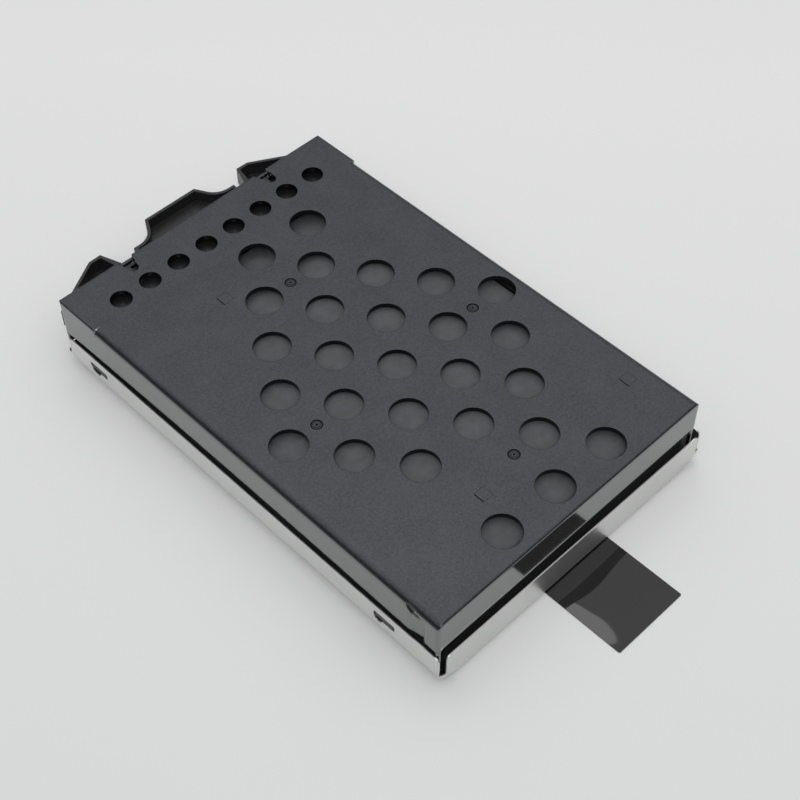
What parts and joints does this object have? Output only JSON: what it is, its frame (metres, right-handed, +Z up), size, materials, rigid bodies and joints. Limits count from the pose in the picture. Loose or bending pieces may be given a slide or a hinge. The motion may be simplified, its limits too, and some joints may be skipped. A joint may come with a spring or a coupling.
{
  "type": "hot swap drive caddy",
  "caption": "Flat shock-damped carrier for a small storage drive: perforated plastic cover on a folded metal tray, rear docking plug with guide prongs, and a film pull tab.",
  "frame": {"origin": "on the flat underside, below the middle of the cover in plan", "axes": "+Y along the caddy towards the docking plug and guide prongs, the pull tab at -Y; +Z up, out of the perforated face; +X to the right seen from the tab with the perforated face up"},
  "size_m": [0.0797, 0.1486, 0.0201],
  "materials": {
    "cover_black": "fine matt grain",
    "frame_black": "satin moulded",
    "tray_steel": "smooth rolled sheet",
    "film_black": "glossy film",
    "pad_black": "matt foam",
    "sheet_black": "satin sheet",
    "drive_metal": "fine blasted",
    "screw_steel": "plain",
    "board_green": "solder mask",
    "chip_black": "moulded",
    "thermal_pad": "soft matt",
    "connector_black": "moulded",
    "flex_amber": "film"
  },
  "bodies": {
    "root": {"TopCover": "cover_black", "InnerFrame": "frame_black", "BaseTray": "tray_steel", "PullFilm": "film_black", "TopPad": "pad_black", "BottomPad": "pad_black", "LeftPad": "pad_black", "RightPad": "pad_black", "FrontPad": "pad_black", "RearPadLeft": "pad_black", "RearPadRight": "pad_black", "InsulatingSheet": "sheet_black", "DriveCase": "drive_metal", "DriveLid": "drive_metal", "DriveBoard": "board_green", "ControllerChip": "chip_black", "MemoryChipA": "chip_black", "MemoryChipB": "chip_black", "MemoryChipC": "chip_black", "MemoryChipD": "chip_black", "ThermalPad": "thermal_pad", "DriveConnector": "connector_black", "DriveSocket": "connector_black", "FlexCable": "flex_amber", "HostBoard": "board_green", "HostConnector": "connector_black", "HostBoardScrews": "screw_steel"}
  },
  "joints": []
}
